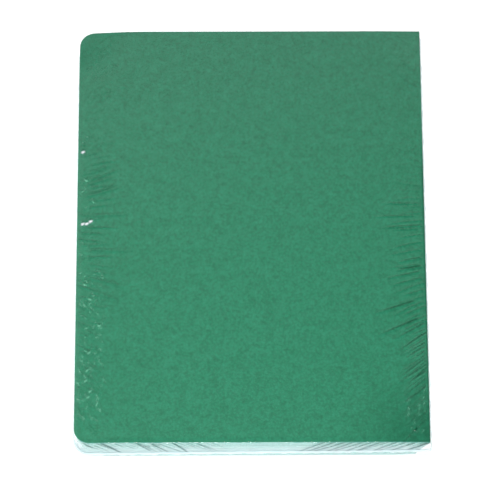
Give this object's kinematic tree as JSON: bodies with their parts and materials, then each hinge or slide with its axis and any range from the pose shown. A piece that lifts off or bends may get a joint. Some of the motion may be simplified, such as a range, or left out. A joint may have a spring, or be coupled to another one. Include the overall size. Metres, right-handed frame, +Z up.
{
  "type": "binding cover pack",
  "caption": "Shrink-wrapped flat pack of loose green card binding covers with pale edges, each with two round corners on its outer edge.",
  "frame": {"origin": "middle of the pack's underside, on the surface that it lies on", "axes": "+Z up through the stack, +Y along the covers' long side, +X towards the square binding edge, -X towards the edge with the round corners"},
  "size_m": [0.2258, 0.2894, 0.0251],
  "materials": {
    "cover_card": "matt leather-grained card, green on both faces over a pale mint core",
    "shrink_film": "clear glossy shrink film with fine tension wrinkles"
  },
  "bodies": {
    "root": {"cover_set_01": "cover_card", "cover_set_02": "cover_card", "cover_set_03": "cover_card", "cover_set_04": "cover_card", "cover_set_05": "cover_card", "cover_set_06": "cover_card", "cover_set_07": "cover_card", "cover_set_08": "cover_card", "cover_set_09": "cover_card", "cover_set_10": "cover_card", "cover_set_11": "cover_card", "cover_set_12": "cover_card", "cover_set_13": "cover_card", "cover_set_14": "cover_card", "cover_set_15": "cover_card", "cover_set_16": "cover_card", "cover_set_17": "cover_card", "cover_set_18": "cover_card", "cover_set_19": "cover_card", "cover_set_20": "cover_card", "cover_set_21": "cover_card", "cover_set_22": "cover_card", "cover_set_23": "cover_card", "cover_set_24": "cover_card", "cover_set_25": "cover_card", "cover_set_26": "cover_card", "cover_set_27": "cover_card", "cover_set_28": "cover_card", "cover_set_29": "cover_card", "cover_set_30": "cover_card", "cover_set_31": "cover_card", "cover_set_32": "cover_card", "cover_set_33": "cover_card", "cover_set_34": "cover_card", "cover_set_35": "cover_card", "cover_set_36": "cover_card", "cover_set_37": "cover_card", "cover_set_38": "cover_card", "cover_set_39": "cover_card", "cover_set_40": "cover_card", "cover_set_41": "cover_card", "cover_set_42": "cover_card", "cover_set_43": "cover_card", "cover_set_44": "cover_card", "cover_set_45": "cover_card", "cover_set_46": "cover_card", "cover_set_47": "cover_card", "cover_set_48": "cover_card", "cover_set_49": "cover_card", "cover_set_50": "cover_card", "film_lower_leaf": "shrink_film", "film_upper_leaf": "shrink_film", "film_trim_seal": "shrink_film"}
  },
  "joints": []
}
